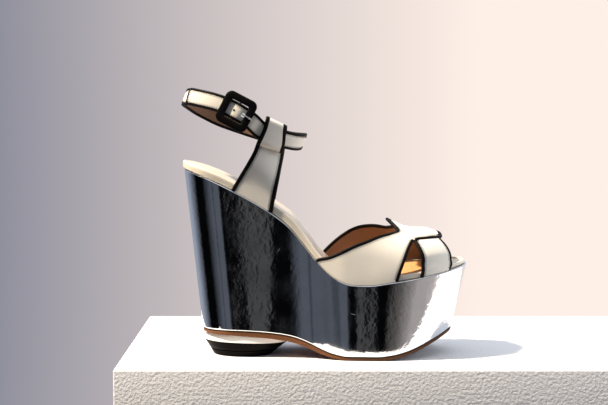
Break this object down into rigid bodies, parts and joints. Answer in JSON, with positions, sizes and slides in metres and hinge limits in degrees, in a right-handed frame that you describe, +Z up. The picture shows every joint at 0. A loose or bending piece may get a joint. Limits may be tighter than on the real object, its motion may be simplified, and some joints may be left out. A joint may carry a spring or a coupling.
{
  "type": "wedge shoe",
  "caption": "Women's open-toe wedge platform sandal, right shoe: mirror-silver wedge, cream leather vamp and toe band with black piping, and an ankle strap with a covered buckle.",
  "frame": {"origin": "on the floor, below the middle of the shoe's bounding box", "axes": "+X towards the toe, +Y towards the inner side of the foot, +Z up"},
  "size_m": [0.2346, 0.0882, 0.2176],
  "materials": {
    "silver_film": "mirror-silver film wrapped round a moulded core, slightly wavy",
    "outsole_leather": "tan sole leather, matt",
    "heel_base_leather": "cream leather cover, satin",
    "heel_rubber": "black rubber, satin",
    "top_piece_rubber": "black rubber, matt",
    "footbed_leather": "cream leather wrapped round a board, satin",
    "insole_leather": "tan sock leather, matt",
    "upper_leather": "cream smooth leather with tan lining, satin",
    "strap_leather": "cream smooth leather with tan lining, satin",
    "piping": "black leather piping, semi-gloss",
    "buckle_cover": "black leather cover, semi-gloss",
    "buckle_steel": "polished steel"
  },
  "bodies": {
    "root": {"wedge": "silver_film", "outsole": "outsole_leather", "heel_base": "heel_base_leather", "heel_lift": "heel_rubber", "heel_top_piece": "top_piece_rubber", "footbed": "footbed_leather", "insole": "insole_leather", "upper": "upper_leather", "quarter_strap_lateral": "strap_leather", "quarter_strap_medial": "strap_leather", "ankle_strap": "strap_leather", "buckle_frame": "buckle_cover", "buckle_prong": "buckle_steel"}
  },
  "joints": []
}
